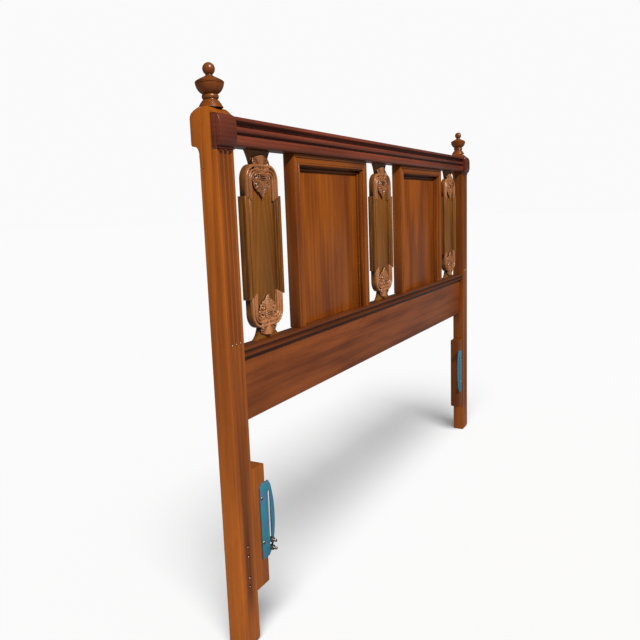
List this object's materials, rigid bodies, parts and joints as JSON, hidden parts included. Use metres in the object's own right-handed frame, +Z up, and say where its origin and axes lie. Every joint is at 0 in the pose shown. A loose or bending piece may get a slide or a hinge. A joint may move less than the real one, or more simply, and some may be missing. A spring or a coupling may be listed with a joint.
{
  "type": "headboard",
  "caption": "Wooden bed headboard: fluted posts with turned finials, moulded rails, framed panels, shaped carved splats and slotted steel brackets for a bed frame.",
  "frame": {"origin": "on the floor under the middle of the bounding box, midway between the posts", "axes": "+X along the width towards the right-hand post as seen from the carved front, +Y towards the plain back, +Z up"},
  "size_m": [1.5766, 0.0724, 1.159],
  "materials": {
    "post_wood": "orange-brown stained wood with satin lacquer",
    "mahogany_wood": "dark red mahogany stain with satin lacquer",
    "rail_wood": "dark reddish-brown figured wood, satin lacquer",
    "panel_wood": "reddish-brown wood with satin lacquer",
    "splat_wood": "brown veneer with satin lacquer",
    "carving_wood": "brown carved wood, glossy on its high points",
    "bracket_paint": "steel with worn teal-blue paint",
    "screw_steel": "dull plated steel"
  },
  "bodies": {
    "headboard": {"left_bracket_block": "post_wood", "left_bracket_plate": "bracket_paint", "left_end_plate": "mahogany_wood", "left_finial": "post_wood", "left_panel_board": "panel_wood", "left_panel_left_moulding": "panel_wood", "left_panel_left_stile": "panel_wood", "left_panel_right_moulding": "panel_wood", "left_panel_right_stile": "panel_wood", "left_panel_top_member": "panel_wood", "left_panel_top_moulding": "panel_wood", "left_plate_screw_1": "screw_steel", "left_plate_screw_2": "screw_steel", "left_post": "post_wood", "left_post_shoulder": "post_wood", "left_splat_board": "splat_wood", "left_splat_left_edging": "splat_wood", "left_splat_lower_carving": "carving_wood", "left_splat_lower_neck": "splat_wood", "left_splat_right_edging": "splat_wood", "left_splat_upper_carving": "carving_wood", "left_splat_upper_neck": "splat_wood", "lower_rail": "rail_wood", "lower_rail_ledge": "rail_wood", "middle_splat_board": "splat_wood", "middle_splat_left_edging": "splat_wood", "middle_splat_lower_carving": "carving_wood", "middle_splat_lower_neck": "splat_wood", "middle_splat_right_edging": "splat_wood", "middle_splat_upper_carving": "carving_wood", "middle_splat_upper_neck": "splat_wood", "right_bracket_block": "post_wood", "right_bracket_plate": "bracket_paint", "right_end_plate": "mahogany_wood", "right_finial": "post_wood", "right_panel_board": "panel_wood", "right_panel_left_moulding": "panel_wood", "right_panel_left_stile": "panel_wood", "right_panel_right_moulding": "panel_wood", "right_panel_right_stile": "panel_wood", "right_panel_top_member": "panel_wood", "right_panel_top_moulding": "panel_wood", "right_plate_screw_1": "screw_steel", "right_plate_screw_2": "screw_steel", "right_post": "post_wood", "right_post_shoulder": "post_wood", "right_splat_board": "splat_wood", "right_splat_left_edging": "splat_wood", "right_splat_lower_carving": "carving_wood", "right_splat_lower_neck": "splat_wood", "right_splat_right_edging": "splat_wood", "right_splat_upper_carving": "carving_wood", "right_splat_upper_neck": "splat_wood", "top_rail": "mahogany_wood"},
    "left_bolt_pair": {"left_bracket_bolt_1": "screw_steel", "left_bracket_bolt_2": "screw_steel", "left_bracket_nut_1": "screw_steel", "left_bracket_nut_2": "screw_steel"}
  },
  "joints": [
    {"name": "left_bolts_in_slot", "type": "slide", "parent": "headboard", "child": "left_bolt_pair", "axis": [0, 0, 1], "range_m": [0, 0.105]}
  ]
}
